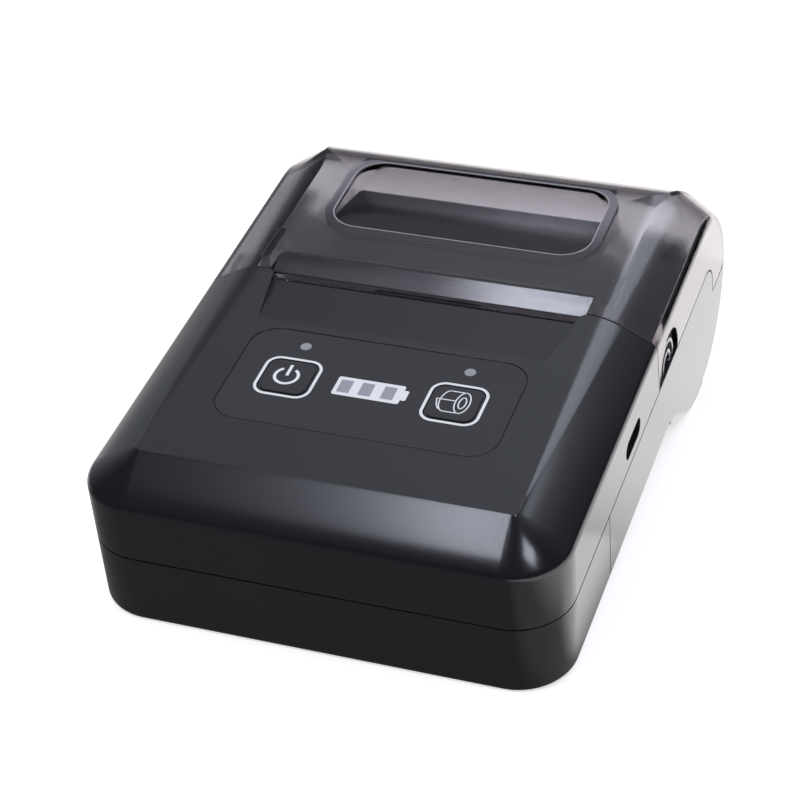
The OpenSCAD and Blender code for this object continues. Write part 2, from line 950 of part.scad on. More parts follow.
// Aluminium plate behind the head, with its two pivot pins
module heat_plate() {
    half = frame_half - plate_t - 0.35;
    color([0.75, 0.76, 0.78])
    at_head() {
        translate([-half, pivot_low, platen_r + head_gap + head_t])
            cube([2 * half, heat_top - pivot_low, heat_t]);
        translate([-half, pivot_low, pivot_out])
            rotate([0, 90, 0]) cylinder(h = 2 * half, r = heat_t / 2);
        translate([-frame_half, pivot_low, pivot_out])
            rotate([0, 90, 0]) cylinder(h = 2 * frame_half, r = pivot_r);
    }
}

// Ceramic strip with its glazed heater ridge and the cover over the driver chips
module print_head() {
    half = paper_w / 2 + 0.2;
    color([0.9, 0.88, 0.82])
    at_head() {
        difference() {
            translate([-half, -5.5, platen_r + head_gap])
                cube([2 * half, 5.5 + heat_top, head_t]);
            translate([-half - 1, 1.2, platen_r + head_gap - 1])
                cube([2 * half + 2, 10, 1.2]);
            translate([-half - 1, -11.2, platen_r + head_gap - 1])
                cube([2 * half + 2, 10, 1.2]);
        }
    }
}

module head_springs() {
    color([0.7, 0.7, 0.72])
    both()
        at_head()
            translate([12, 1, spring_start])
                difference() {
                    cylinder(h = spring_wall - spring_start, r = 2);
                    translate([0, 0, -1]) cylinder(h = 10, r = 1.4);
                }
}

module feed_motor() {
    flange = plate_t - frame_half;
    color([0.66, 0.67, 0.69])
    difference() {
        union() {
            rod([motor_y, motor_z], motor_r, flange + 0.8, flange + 13);
            rod([motor_y, motor_z], 2.4, flange + 13, flange + 13.6);
            intersection() {
                side_prism(flange, flange + 0.8)
                    translate([motor_y, motor_z]) rotate(100) stadium(2 * motor_r + 4, 6);
                translate([-body_w, 0, foot_z - 1]) cube([2 * body_w, rear_y, top_z]);
            }
        }
        rod([motor_y, motor_z], 0.75 + fit, flange - 1, flange + 5);
    }
}

// Spur gear along X from x1 to x2, with its first tooth at the given angle
module spur(pos, teeth, x1, x2, bore, first) {
    pitch = gear_m * teeth / 2;
    root = pitch - 1.2 * gear_m;
    tip = pitch + 0.9 * gear_m;
    step = 360 / teeth;
    side_prism(x1, x2)
        translate(pos)
            difference() {
                polygon([
                    for (i = [0:teeth - 1], k = [[root, -0.34], [tip, -0.13], [tip, 0.13], [root, 0.34]])
                        k[0] * u(first + (i + k[1]) * step)
                ]);
                circle(bore);
            }
}

// Angle of the follower's tooth that meshes with a gear whose tooth is at first
function mesh_angle(from, to, teeth_from, first, teeth_to) =
    let (line = atan2(to[1] - from[1], to[0] - from[0]))
    line + 180 + (180 - teeth_from * (first - line)) / teeth_to;

module motor_pinion() {
    first = mesh_angle(idler_pos, [motor_y, motor_z], idler_teeth, idler_first, pinion_teeth);
    color([0.8, 0.78, 0.7]) {
        spur([motor_y, motor_z], pinion_teeth, -gear_in - gear_w, -gear_in, 0.5, first);
        rod([motor_y, motor_z], 0.75, -gear_in - gear_w, plate_t - frame_half + 4);
        rod([motor_y, motor_z], 1.3, -gear_in - 0.1, -frame_half - 0.4);
    }
}

module idler_axle() {
    color([0.6, 0.6, 0.62]) {
        rod(idler_pos, axle_r, -gear_in - gear_w - 0.3, plate_t - frame_half + 0.3);
        rod(idler_pos, axle_r + 0.6, -gear_in - gear_w - 0.8, -gear_in - gear_w - 0.15);
    }
}

module idler_gear() {
    color([0.86, 0.85, 0.8])
    difference() {
        union() {
            spur(idler_pos, idler_teeth, -gear_in - gear_w, -gear_in, axle_r / 2, idler_first);
            rod(idler_pos, 2, -gear_in - 0.1, -frame_half - 0.2);
        }
        rod(idler_pos, axle_r + fit, -gear_in - gear_w - 1, 0);
        side_prism(-gear_in - gear_w - 1, -gear_in - gear_w + 0.8)
            translate(idler_pos)
                difference() {
                    circle(pitch_idler - 1.8);
                    circle(2.1);
                }
    }
}

module paper_sensor() {
    color([0.07, 0.07, 0.08])
    translate([8, platen_y + 1, platen_z - 6.2])
        difference() {
            cube([4, 3.2, 0.9]);
            translate([0.8, 0.9, 0.6]) cube([0.9, 1.4, 1]);
            translate([2.3, 0.9, 0.6]) cube([0.9, 1.4, 1]);
        }
}

module lid() {
    color([0.32, 0.31, 0.35, 0.55])
    difference() {
        union() {
            intersection() {
                union() {
                    shell(lid_wall);
                    intersection() {
                        envelope(lid_wall / 2);
                        union() {
                            lid_lip();
                            lid_arms();
                            scoop_pan();
                            both()
                                side_prism(half_w - lid_wall - notch_depth, half_w - 0.5)
                                    notch_outline(1.2);
                        }
                    }
                }
                side_prism(-half_w - 1, half_w + 1)
                    difference() {
                        translate([30, hinge_z + clear]) square([rear_y, high_z]);
                        lower_region(clear);
                        seam_region(clear);
                    }
            }
            both() rod([hinge_y, hinge_z], knuckle_r, lid_knuckle[0], lid_knuckle[1]);
        }
        both() rod([hinge_y, hinge_z], knuckle_r + 0.35, body_knuckle[0] - 0.2, body_knuckle[1] + 0.4);
        both() rod([hinge_y, hinge_z], pin_r + fit, lid_knuckle[0] - 1, lid_knuckle[1] + 1);
        lip_cut();
        scoop_cut();
        notch_cut();
        both() rod([platen_y, platen_z], shaft_r + fit, arm_in - 1, arm_in + arm_t + 1);
    }
}

// Thick lip at the front of the lid that guides the paper, narrower and relieved at its foot
module lid_lip() {
    difference() {
        side_prism(-lip_half, lip_half)
            polygon([
                [lip_y, top_z],
                [lip_y, lip_low + 0.8],
                [lip_y + 1.4, lip_low],
                [lip_y + 6, lip_low],
                [lip_y + 6, top_z]
            ]);
        translate([-lip_relief_half, lip_y - 1, lip_low - 1])
            cube([2 * lip_relief_half, 1.9, 2.2]);
        both()
            translate([lip_half - 1.9, lip_y - 1, lip_low - 1])
                cube([3, 2.2, 2.9]);
    }
}

// Frosted slope in two facets in front of the lid's top, and the gap of the paper slot
module lip_cut() {
    side_prism(-lip_half, lip_half)
        polygon([
            [lip_slope_y, top_z],
            [lip_slope_y - 1.5, top_z - 0.45 * lip_drop],
            [lip_y, top_z - lip_drop],
            [lip_y, platen_z],
            [seam_y - 3, platen_z],
            [seam_y - 3, high_z],
            [lip_slope_y, high_z]
        ]);
}

// Arms that carry the platen's shaft
module lid_arms() {
    both()
        side_prism(arm_in, arm_in + arm_t) {
            translate([platen_y, platen_z]) circle(shaft_r + 2);
            polygon([
                [platen_y - shaft_r - 2, platen_z],
                [platen_y + shaft_r + 2, platen_z],
                [platen_y + shaft_r + 4, top_z],
                [platen_y - shaft_r - 3, top_z]
            ]);
        }
}

// Plan of the finger scoop, widened by grow
module scoop_plan(grow) {
    translate([0, (scoop_front_y + scoop_rear_y) / 2])
        round_box([scoop_w + 2 * grow, scoop_l + 2 * grow], 5.5 + grow);
}

module scoop_cut() {
    intersection() {
        side_prism(-half_w, half_w)
            polygon([
                [scoop_front_y - 1, top_z - scoop_lip],
                [scoop_front_y, top_z - scoop_lip],
                [scoop_rear_y - scoop_wall_run, top_z - scoop_depth],
                [scoop_rear_y, top_z - scoop_lip - 0.4],
                [scoop_rear_y + 1, high_z],
                [scoop_front_y - 1, high_z]
            ]);
        translate([0, 0, low_z]) linear_extrude(high_z - low_z + 1) scoop_plan(0);
    }
}

// Walls of the scoop under the lid's top
module scoop_pan() {
    intersection() {
        side_prism(-half_w, half_w)
            polygon([
                [scoop_front_y - 3, top_z],
                [scoop_front_y - 3, top_z - scoop_lip - lid_wall],
                [scoop_front_y, top_z - scoop_lip - lid_wall],
                [scoop_rear_y - scoop_wall_run + 0.6, top_z - scoop_depth - lid_wall],
                [scoop_rear_y + 2.4, top_z - scoop_lip - lid_wall],
                [scoop_rear_y + 2.4, top_z]
            ]);
        translate([0, 0, low_z]) linear_extrude(high_z - low_z + 1) scoop_plan(lid_wall);
    }
}

// Half round thumb notch that opens at the parting line
module notch_outline(grow = 0) {
    translate([seam_y + notch_back, part_z + 1]) circle(notch_r + grow);
}

// Pocket of the notch, with half rings left standing in it for grip
module notch_cut() {
    both()
        difference() {
            side_prism(half_w - notch_depth, half_w + 1) notch_outline();
            for (grow = [-1.9, -3.9])
                side_prism(half_w - notch_depth - 1, half_w - notch_depth / 3)
                    difference() {
                        notch_outline(grow);
                        notch_outline(grow - 0.7);
                    }
        }
}

module platen_roller() {
    color([0.09, 0.09, 0.095])
    difference() {
        rod([platen_y, platen_z], platen_r, -platen_half, platen_half);
        rod([platen_y, platen_z], shaft_r + 0.02, -platen_half - 1, platen_half + 1);
    }
}

module platen_shaft() {
    color([0.78, 0.79, 0.8])
    rod([platen_y, platen_z], shaft_r, -gear_in - gear_w - 0.3, arm_in + arm_t + 0.3);
}

module platen_bushes() {
    color([0.85, 0.84, 0.78])
    both()
        difference() {
            union() {
                rod([platen_y, platen_z], bush_r, frame_half - plate_t - 0.5, arm_in - 0.15);
                rod([platen_y, platen_z], bush_r + 0.6, frame_half - plate_t - 0.5,
                    frame_half - plate_t - 0.1);
            }
            rod([platen_y, platen_z], shaft_r + fit, platen_half, arm_in + 1);
        }
}

module platen_gear() {
    first = mesh_angle(idler_pos, [platen_y, platen_z], idler_teeth, idler_first, platen_teeth);
    color([0.86, 0.85, 0.8])
    spur([platen_y, platen_z], platen_teeth, -gear_in - gear_w, -gear_in, shaft_r + 0.02, first);
}

module hinge_pins() {
    color([0.8, 0.8, 0.82])
    both() rod([hinge_y, hinge_z], pin_r, lid_knuckle[0] - 0.4, body_knuckle[1] + 0.4);
}

// Pan head screw pointing up, its head resting under z
module screw(x, y, z, r, head_r, head_h, reach) {
    difference() {
        union() {
            post(x, y, head_r, z - head_h, z);
            post(x, y, r, z - head_h, z + reach);
        }
        for (a = [0, 90])
            translate([x, y, z - head_h])
                rotate([0, 0, a])
                    cube([1.3 * head_r, 0.5, 1.2], center = true);
    }
}

module housing_screws() {
    color([0.3, 0.3, 0.31])
    for (s = screw_spots)
        screw(s[0], s[1], screw_seat, screw_r, screw_head_r, 1.9, part_z - screw_seat + 6);
}

module board_screws() {
    color([0.75, 0.75, 0.77])
    for (y = board_screw_ys)
        both()
            screw(board_screw_x, y, board_top - board_t, board_screw_r, 1.6, 1, board_t + 4);
}

module mechanism_screws() {
    color([0.75, 0.75, 0.77])
    both()
        translate([0, 0, 2 * (foot_z + plate_t)])
            mirror([0, 0, 1])
                screw(foot_x, foot_y, foot_z + plate_t, board_screw_r, 1.7, 1.1, plate_t + 2);
}

// Stands the printer on the table, with the middle of its base at the origin
module on_table() {
    translate([0, -(front_reach + rear_reach) / 2, -table_z])
        rotate([rest_tilt, 0, 0])
            children();
}

on_table() upper_housing();
on_table() lower_housing();
on_table() battery_cover();
on_table() battery_pack();
on_table() battery_contacts();
on_table() control_label();
on_table() power_button();
on_table() feed_button();
on_table() light_pipes();
on_table() gauge_light_guide();
on_table() main_board();
on_table() tact_switches();
on_table() indicator_leds();
on_table() controller_chips();
on_table() usb_connector();
on_table() tear_bar();
on_table() mechanism_frame();
on_table() heat_plate();
on_table() print_head();
on_table() head_springs();
on_table() feed_motor();
on_table() motor_pinion();
on_table() idler_axle();
on_table() idler_gear();
on_table() paper_sensor();
on_table() lid();
on_table() platen_roller();
on_table() platen_shaft();
on_table() platen_bushes();
on_table() platen_gear();
on_table() hinge_pins();
on_table() housing_screws();
on_table() board_screws();
on_table() mechanism_screws();
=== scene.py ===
"""Portable receipt printer: finishes, printed symbols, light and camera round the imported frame."""

import json
import math

import bmesh
import bpy
from mathutils import Matrix, Vector


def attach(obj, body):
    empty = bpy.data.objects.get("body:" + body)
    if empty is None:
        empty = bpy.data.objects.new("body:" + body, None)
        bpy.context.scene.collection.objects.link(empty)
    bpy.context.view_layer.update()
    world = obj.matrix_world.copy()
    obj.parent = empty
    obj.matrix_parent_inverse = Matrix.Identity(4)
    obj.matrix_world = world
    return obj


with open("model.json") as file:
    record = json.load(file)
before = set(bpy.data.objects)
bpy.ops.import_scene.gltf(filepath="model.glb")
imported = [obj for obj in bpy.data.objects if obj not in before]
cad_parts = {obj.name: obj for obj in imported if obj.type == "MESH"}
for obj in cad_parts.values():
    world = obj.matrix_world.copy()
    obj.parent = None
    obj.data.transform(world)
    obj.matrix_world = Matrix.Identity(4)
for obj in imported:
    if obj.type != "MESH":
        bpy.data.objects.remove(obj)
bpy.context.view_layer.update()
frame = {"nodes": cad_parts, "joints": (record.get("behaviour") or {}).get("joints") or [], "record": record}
scene = bpy.context.scene
MM = 0.001

# Sizes of the level drawing, in millimetres: Y = 0 is the front wall, Z = 0 the flat bottom
TOP_Z = 30.6
CORNER_R = 10.0
CORNER_X = 32.0
BEVEL = 9.0
SEAM_Y = 62.0
HINGE_Y, HINGE_Z = 116.163, 6.4
SCOOP_MIDDLE = (0.0, 88.7)
SCOOP_HALF = (24.7, 10.9)
SCOOP_R = 5.5
LID_WALL = 1.8

# The printer stands leaning on its roll bay. The lean and the place come from the frame's joints
joints = {j["name"]: j for j in frame["joints"]}
press = joints["power_press"]["axis"]
LEAN = math.atan2(press[1], -press[2])
LEVEL_TO_ROW = (
    Matrix.Translation(joints["lid_hinge"]["pos_m"])
    @ Matrix.Rotation(LEAN, 4, "X")
    @ Matrix.Translation(Vector((0, -HINGE_Y, -HINGE_Z)) * MM)
)


def row(point):
    """A point of the level drawing, in millimetres, as a point of the row frame, in metres."""
    return LEVEL_TO_ROW @ (Vector(point) * MM)


# Nodes of the materials
def linear(hex_colour, alpha=1.0):
    """sRGB hex to linear RGBA."""
    parts = [int(hex_colour[i : i + 2], 16) / 255 for i in (1, 3, 5)]
    return (*[c / 12.92 if c <= 0.04045 else ((c + 0.055) / 1.055) ** 2.4 for c in parts], alpha)


def add(tree, kind, settings=None, links=None):
    """Adds a node with its settings, and links its sockets to the outputs given."""
    made = tree.nodes.new("ShaderNode" + kind)
    for key, value in (settings or {}).items():
        if isinstance(key, str) and hasattr(made, key):
            setattr(made, key, value)
        else:
            made.inputs[key].default_value = value
    for key, source in (links or {}).items():
        tree.links.new(source, made.inputs[key])
    return made


def ramp(tree, source, span, values):
    """Runs smoothly between the two values while source runs over the span."""
    settings = {"interpolation_type": "SMOOTHSTEP", "From Min": span[0], "From Max": span[1],
                "To Min": values[0], "To Max": values[1]}
    return add(tree, "MapRange", settings, {"Value": source}).outputs["Result"]


def combine(tree, operation, first, *others):
    """Joins outputs or numbers one after another by arithmetic."""
    result = first
    for other in others:
        pair = dict(enumerate((result, other)))
        numbers = {i: v for i, v in pair.items() if isinstance(v, float)}
        links = {i: v for i, v in pair.items() if not isinstance(v, float)}
        result = add(tree, "Math", {"operation": operation, **numbers}, links).outputs[0]
    return result


def overlay(tree, share, under, over):
    """Lays one shader over another by this share."""
    return add(tree, "MixShader", {}, {0: share, 1: under, 2: over}).outputs[0]


def ray_kinds(tree):
    """Shares of rays: seen by the eye straight or through the lid, and seen in the gloss."""
    rays = add(tree, "LightPath")
    unmirrored = combine(tree, "LESS_THAN", rays.outputs["Glossy Depth"], 0.5)
    through = combine(tree, "MULTIPLY", rays.outputs["Is Transmission Ray"], unmirrored)
    direct = combine(tree, "MAXIMUM", rays.outputs["Is Camera Ray"], through)
    other = combine(tree, "SUBTRACT", 1.0, direct)
    return direct, combine(tree, "MULTIPLY", rays.outputs["Is Glossy Ray"], other)


def blank_material(name):
    """A material without nodes, and its tree."""
    made = bpy.data.materials.new(name)
    made.use_nodes = True
    made.node_tree.nodes.clear()
    return made, made.node_tree


def level_place(tree):
    """Object coordinates turned back into the level drawing, in metres, as X, Y and Z."""
    place = add(tree, "TexCoord").outputs["Object"]
    back = LEVEL_TO_ROW.inverted()
    settings = {"Location": back.translation, "Rotation": back.to_euler()}
    level = add(tree, "Mapping", settings, {"Vector": place}).outputs["Vector"]
    return add(tree, "SeparateXYZ", {}, {0: level}).outputs


def away_from(tree, source, middle):
    """How far source lies from the middle, to either side."""
    offset = combine(tree, "SUBTRACT", source, middle)
    return add(tree, "Math", {"operation": "ABSOLUTE"}, {0: offset}).outputs[0]


def span_of(tree, first, second):
    """Length of the way that runs this far in one direction and that far across it."""
    squares = [combine(tree, "POWER", side, 2.0) for side in (first, second)]
    return combine(tree, "POWER", combine(tree, "ADD", *squares), 0.5)


# Swell of the moulded bevels: slope at the crease, run to the top of the swell, soft onset in mm,
# and the share of it that is left at the lid's seam
CROWN_SLOPE = 0.25
CROWN_TOP = 6.0
CROWN_ONSET = 0.5
CROWN_AT_SEAM = 0.35


def crowned(tree, normal):
    """Swells the bevels: steepest next to the crease and falling away to the shoulder."""
    level = level_place(tree)
    aside = combine(tree, "SUBTRACT", away_from(tree, level["X"], 0.0), CORNER_X * MM)
    ahead = combine(tree, "SUBTRACT", CORNER_R * MM, level["Y"])
    past = [combine(tree, "MAXIMUM", side, 0.0) for side in (aside, ahead)]
    out = combine(tree, "SUBTRACT", span_of(tree, *past), (CORNER_R - BEVEL) * MM)
    out = combine(tree, "MINIMUM", combine(tree, "MAXIMUM", out, 0.0), BEVEL * MM)
    squared = combine(tree, "POWER", out, 2.0)
    fall = combine(tree, "MULTIPLY", squared, CROWN_SLOPE / (2 * CROWN_TOP * MM))
    eased = combine(tree, "POWER", combine(tree, "ADD", squared, (CROWN_ONSET * MM) ** 2), 0.5)
    rise = combine(tree, "SUBTRACT", combine(tree, "MULTIPLY", eased, CROWN_SLOPE), fall)
    share = ramp(tree, level["Y"], (CORNER_R * MM, SEAM_Y * MM), (1.0, CROWN_AT_SEAM))
    height = combine(tree, "MULTIPLY", rise, share)
    bump = add(tree, "Bump", {"Strength": 1.0, "Distance": 1.0}, {"Height": height, "Normal": normal})
    return bump.outputs["Normal"]


# Width of the patches in which a moulded colour wanders
PATCH_MM = 14


def finish_material(
    name, dark, light, roughness, spread=0.05, grain_mm=0.3, relief_mm=0.0, edge_mm=0.0,
    crown=False, **sockets
):
    """A surface whose colour and gloss wander a little, with fine relief and softened edges."""
    made, tree = blank_material(name)
    place = add(tree, "TexCoord").outputs["Object"]
    patch = add(tree, "TexNoise", {"Scale": 1 / (PATCH_MM * MM), "Detail": 3.0}, {"Vector": place})
    grain = add(
        tree, "TexNoise", {"Scale": 1 / (grain_mm * MM), "Detail": 2.0}, {"Vector": place}
    ).outputs["Fac"]
    hues = {"data_type": "RGBA", 6: linear(dark), 7: linear(light)}
    tint = add(tree, "Mix", hues, {0: patch.outputs["Fac"]})
    range_of_gloss = {"To Min": roughness - spread, "To Max": roughness + spread}
    gloss = add(tree, "MapRange", range_of_gloss, {"Value": grain})
    links = {"Base Color": tint.outputs[2], "Roughness": gloss.outputs["Result"]}
    if edge_mm:
        soft = add(tree, "Bevel", {"samples": 4, "Radius": edge_mm * MM})
        links["Normal"] = soft.outputs["Normal"]
    if crown:
        links["Normal"] = crowned(tree, links["Normal"])
    if relief_mm:
        under = {"Normal": links["Normal"]} if "Normal" in links else {}
        settings = {"Strength": 1.0, "Distance": relief_mm * MM}
        bump = add(tree, "Bump", settings, {"Height": grain, **under})
        links["Normal"] = bump.outputs["Normal"]
    shader = add(tree, "BsdfPrincipled", sockets, links)
    add(tree, "OutputMaterial", {}, {"Surface": shader.outputs["BSDF"]})
    return made


def within(tree, source, low, high, soft=0.1):
    """1 while source, in metres, lies between low and high in millimetres, and 0 outside."""
    above = ramp(tree, source, ((low - soft) * MM, (low + soft) * MM), (0.0, 1.0))
    below = ramp(tree, source, ((high - soft) * MM, (high + soft) * MM), (1.0, 0.0))
    return combine(tree, "MULTIPLY", above, below)


def inside(tree, level, box):
    """1 inside a box of the level drawing, given as low, high and softness for each axis."""
    return combine(tree, "MULTIPLY", *[within(tree, level[axis], *box[axis]) for axis in box])


# Painted highlight on the rounded edges of the lid: how well the softened normal agrees with
# the face's own, from the middle of an edge to its end
RIM_AGREES = (0.80, 0.985)
RIM_HIGHLIGHT_SHARE = 0.55
# Etched band over the paper slot, the stretch where its painted highlight grows to the right,
# and its specks
BAND = {"Y": (62.6, 66.9), "X": (-29.6, 29.6), "Z": (29.0, 30.56, 0.03)}
BAND_HIGHLIGHT_SPAN = (-2 * MM, 16 * MM)
BAND_SHARE = 0.85
SPECK_MM = 0.12
SPECK_DEPTH_MM = 0.008
# Painted shade on the floor of the scoop, known from its walls by how far its faces look up
SCOOP_FLOOR = {"Z": (24.0, 30.4, 0.03), "X": (-24.8, 24.8), "Y": (77.5, 101.0)}
FLOOR_FACES_UP = (0.80, 0.85)
FLOOR_SHADE_SHARE = 0.85
# Painted light on the tops of the scoop's walls, and a painted highlight line along them, each
# from low to high with its softness, outwards from the scoop's edge. The painted light on the
# tops grows over this stretch to the rear
LID_TOP = {"Z": (30.15, 31.0, 0.05)}
WALL_RUN = (0.2, LID_WALL - 0.05, 0.15)
WALL_LIGHT_SPAN = (78 * MM, 92 * MM)
WALL_LIGHT_SHARE = 0.7
HIGHLIGHT_LINE_RUN = (-0.18, 0.2, 0.08)
HIGHLIGHT_LINE_SHARE = 0.75


def painted_rim_highlights(tree, glassy, soft):
    """Paints a pale highlight on the rounded edges, where the softened normal leaves the face's own."""
    true = add(tree, "NewGeometry").outputs["Normal"]
    same = add(tree, "VectorMath", {"operation": "DOT_PRODUCT"}, {0: soft, 1: true})
    edge = ramp(tree, same.outputs["Value"], RIM_AGREES, (RIM_HIGHLIGHT_SHARE, 0.0))
    # A pale colour at the edges: a painted highlight
    settings = {"Base Color": linear("#a9a6ac"), "Roughness": 0.25}
    lit = add(tree, "BsdfPrincipled", settings, {"Normal": soft})
    return overlay(tree, edge, glassy, lit.outputs[0])


def etched_with_painted_highlight(tree, level, under):
    """Etches the band over the paper slot to a satin, with a painted highlight that grows
    towards its right end.
    """
    place = add(tree, "TexCoord").outputs["Object"]
    speck = add(tree, "TexNoise", {"Scale": 1 / (SPECK_MM * MM), "Detail": 1.0}, {"Vector": place})
    settings = {"Strength": 1.0, "Distance": SPECK_DEPTH_MM * MM}
    bump = add(tree, "Bump", settings, {"Height": speck.outputs["Fac"]}).outputs["Normal"]
    ends = []
    # The dull left end and the lighter right end, whose lighter colour is a painted highlight
    for colour, roughness, gloss in (("#2b292f", 0.2, 0.2), ("#4c4950", 0.16, 0.85)):
        settings = {
            "Base Color": linear(colour), "Roughness": roughness, "Specular IOR Level": gloss,
        }
        ends.append(add(tree, "BsdfPrincipled", settings, {"Normal": bump}).outputs[0])
    painted_highlight = ramp(tree, level["X"], BAND_HIGHLIGHT_SPAN, (0.0, 1.0))
    satin = overlay(tree, painted_highlight, *ends)
    share = combine(tree, "MULTIPLY", inside(tree, level, BAND), BAND_SHARE)
    return overlay(tree, share, under, satin)


def painted_floor_shade(tree, level, soft, under):
    """Paints shade on the floor of the scoop, which lies over the black bay."""
    face = add(tree, "SeparateXYZ", {}, {0: add(tree, "NewGeometry").outputs["True Normal"]})
    upward = ramp(tree, face.outputs["Z"], FLOOR_FACES_UP, (0.0, FLOOR_SHADE_SHARE))
    share = combine(tree, "MULTIPLY", upward, inside(tree, level, SCOOP_FLOOR))
    # A dark opaque colour on the scoop's floor: painted shade
    settings = {"Base Color": linear("#2b292d"), "Roughness": 0.15, "Specular IOR Level": 0.36}
    shaded = add(tree, "BsdfPrincipled", settings, {"Normal": soft})
    return overlay(tree, share, under, shaded.outputs[0])


def painted_scoop_light(tree, level, soft, under):
    """Paints a highlight line along the scoop's edge, and light on the tops of its walls."""
    past = []
    for axis, middle, half in zip("XY", SCOOP_MIDDLE, SCOOP_HALF):
        away = away_from(tree, level[axis], middle * MM)
        away = combine(tree, "SUBTRACT", away, (half - SCOOP_R) * MM)
        past.append(combine(tree, "MAXIMUM", away, 0.0))
    outwards = combine(tree, "SUBTRACT", span_of(tree, *past), SCOOP_R * MM)
    top = inside(tree, level, LID_TOP)
    rear = ramp(tree, level["Y"], WALL_LIGHT_SPAN, (0.0, 1.0))
    # The tops' colour lightens to the rear: painted light
    hues = {"data_type": "RGBA", 6: linear("#333136"), 7: linear("#86828a")}
    painted_light_tone = add(tree, "Mix", hues, {0: rear}).outputs[2]
    settings = {"Roughness": 0.15, "Specular IOR Level": 0.36}
    wall = add(tree, "BsdfPrincipled", settings, {"Base Color": painted_light_tone, "Normal": soft})
    # The pale line along the scoop's edge: a painted highlight
    settings = {"Base Color": linear("#c6c2ca"), "Roughness": 0.25}
    line = add(tree, "BsdfPrincipled", settings, {"Normal": soft})
    on_wall = within(tree, outwards, *WALL_RUN)
    on_highlight_line = within(tree, outwards, *HIGHLIGHT_LINE_RUN)
    share = combine(tree, "MULTIPLY", on_wall, top, WALL_LIGHT_SHARE)
    walled = overlay(tree, share, under, wall.outputs[0])
    share = combine(tree, "MULTIPLY", on_highlight_line, top, HIGHLIGHT_LINE_SHARE)
    return overlay(tree, share, walled, line.outputs[0])


# Width of the patches in which the lid's polish wanders, and how far it does
POLISH_MM = 0.8
POLISH_SPREAD = 0.2


def smoky_material(name, roughness, ior, gloss, edge_mm, body, absorb_per_mm):
    """Tinted glassy plastic: lamps shine through it, and the eye sees it bent and mirrored.
    Its depth of colour grows with the length of the way through the wall."""
    made, tree = blank_material(name)
    place = add(tree, "TexCoord").outputs["Object"]
    grain = add(tree, "TexNoise", {"Scale": 1 / (POLISH_MM * MM), "Detail": 2.0}, {"Vector": place})
    polishes = {
        "To Min": roughness * (1 - POLISH_SPREAD), "To Max": roughness * (1 + POLISH_SPREAD),
    }
    polish = add(tree, "MapRange", polishes, {"Value": grain.outputs["Fac"]})
    soft = add(tree, "Bevel", {"samples": 8, "Radius": edge_mm * MM}).outputs["Normal"]
    settings = {"IOR": ior, "Specular IOR Level": gloss, "Transmission Weight": 1.0,
                "Base Color": (0.97, 0.965, 0.97, 1)}
    links = {"Roughness": polish.outputs["Result"], "Normal": soft}
    glassy = add(tree, "BsdfPrincipled", settings, links)
    level = level_place(tree)
    seen = painted_rim_highlights(tree, glassy.outputs[0], soft)
    seen = etched_with_painted_highlight(tree, level, seen)
    seen = painted_floor_shade(tree, level, soft, seen)
    seen = painted_scoop_light(tree, level, soft, seen)
    passed = add(tree, "BsdfTransparent", {"Color": (0.9, 0.9, 0.9, 1)})
    both = overlay(tree, add(tree, "LightPath").outputs["Is Shadow Ray"], seen, passed.outputs[0])
    density = {"Color": linear(body), "Density": absorb_per_mm / MM}
    depth = add(tree, "VolumeAbsorption", density)
    add(tree, "OutputMaterial", {}, {"Surface": both, "Volume": depth.outputs[0]})
    return made


# Moulded ABS, spark-eroded to a fine satin: black with a blue cast and soft, broad highlights
satin_abs = finish_material(
    "satin_abs", "#1a1b1f", "#1e1f23", 0.17, spread=0.03, grain_mm=0.35, relief_mm=0.002,
    edge_mm=0.2, crown=True,
)
# Clear smoky polycarbonate from a polished tool: grey with a mauve cast, darker where it is thick
smoky_polycarbonate = smoky_material(
    "smoky_polycarbonate", roughness=0.14, ior=1.5, gloss=0.28, edge_mm=0.2, body="#897b84",
    absorb_per_mm=0.37,
)
# Screen-printed polyester film: flat and matt beside the shell's satin
label_film = finish_material("label_film", "#262629", "#2a2a2d", 0.5, grain_mm=0.25, relief_mm=0.002)
key_film = finish_material("key_film", "#232326", "#27272b", 0.45, grain_mm=0.25, relief_mm=0.002)
# Screen ink: dead flat, bright white or a middle grey
white_ink = finish_material("white_ink", "#ececef", "#f6f6f8", 0.6)
grey_ink = finish_material("grey_ink", "#9c9ca6", "#a8a8b2", 0.6)
# Frosted acrylic of the unlit light windows: a soft grey dot
frosted_lens = finish_material("frosted_lens", "#8e8e93", "#a4a4a9", 0.5)
# Clear acrylic light guides and lamp bodies: pale, with a wet gloss
clear_guide = finish_material("clear_guide", "#c8c8cc", "#d6d6da", 0.25)
# Ground and polished steel pins and shafts: bright, with tight highlights
polished_steel = finish_material("polished_steel", "#b8b9bc", "#c6c7ca", 0.25, Metallic=1.0)
# Nickel plate on pressed steel: warmer and a little duller than the pins
nickel_plate = finish_material(
    "nickel_plate", "#a9a9ab", "#bcbcbe", 0.3, grain_mm=0.4, Metallic=1.0
)
# Black oxide under oil on screws and the tear bar: an even near-black with a low sheen
black_steel = finish_material("black_steel", "#0f0f11", "#161618", 0.4)
# Milled aluminium behind the print head: pale grey with a fine grain
milled_aluminium = finish_material(
    "milled_aluminium", "#c4c6c8", "#d4d5d7", 0.32, spread=0.06, grain_mm=0.4, Metallic=1.0
)
# Gold flash on the battery's spring contacts: small yellow glints
gold_flash = finish_material("gold_flash", "#d8b25c", "#e2c070", 0.25, Metallic=1.0)
# Hobbed brass of the motor's pinion: a deeper yellow than the contacts
hobbed_brass = finish_material("hobbed_brass", "#c9a55a", "#d6b56c", 0.3, Metallic=1.0)
# Glass-filled nylon of the mechanism's frame: dull charcoal with a slight tooth
frame_nylon = finish_material(
    "frame_nylon", "#242528", "#2c2d31", 0.55, spread=0.06, grain_mm=0.5, relief_mm=0.01
)
